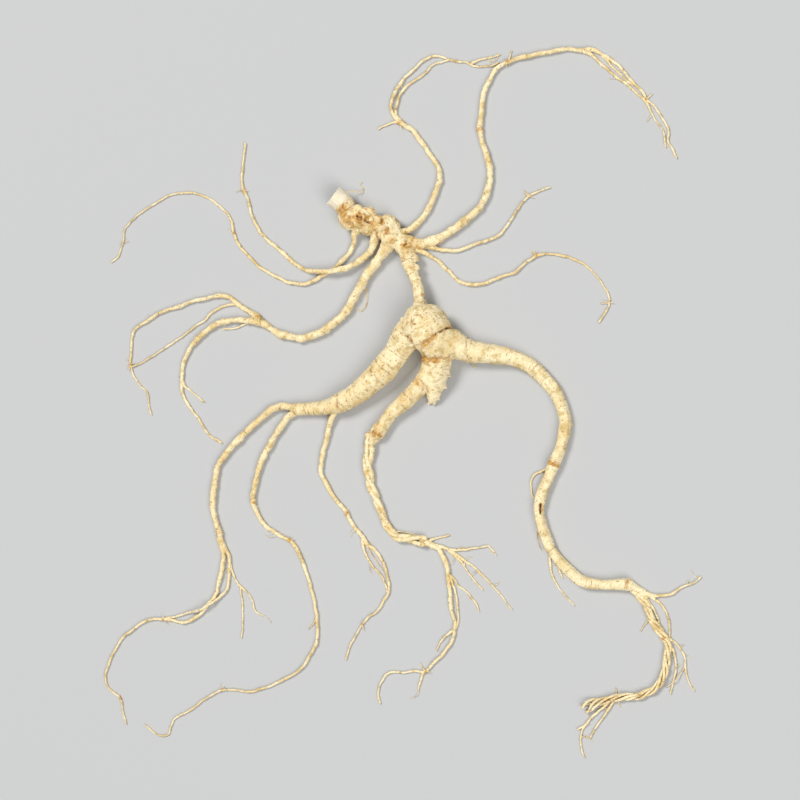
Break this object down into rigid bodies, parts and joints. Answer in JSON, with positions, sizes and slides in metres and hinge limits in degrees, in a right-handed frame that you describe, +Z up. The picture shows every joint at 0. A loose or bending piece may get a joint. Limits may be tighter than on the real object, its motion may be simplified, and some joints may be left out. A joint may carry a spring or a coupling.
{
  "type": "dried ginseng root",
  "caption": "Whole dried ginseng root lying flat: knobbly rhizome with a cut stem stub, thin neck, forked body with three legs, and long side roots ending in fine rootlets.",
  "frame": {"origin": "on the flat resting spot under the middle of the body", "axes": "+Z up off the surface it lies on, +Y from the body towards the rhizome end, +X towards the right leg"},
  "size_m": [0.2374, 0.2657, 0.0166],
  "materials": {
    "root_skin": "matte dried skin, cream with brown specks and ring wrinkles"
  },
  "bodies": {
    "root": {"ginseng_root": "root_skin"}
  },
  "joints": []
}
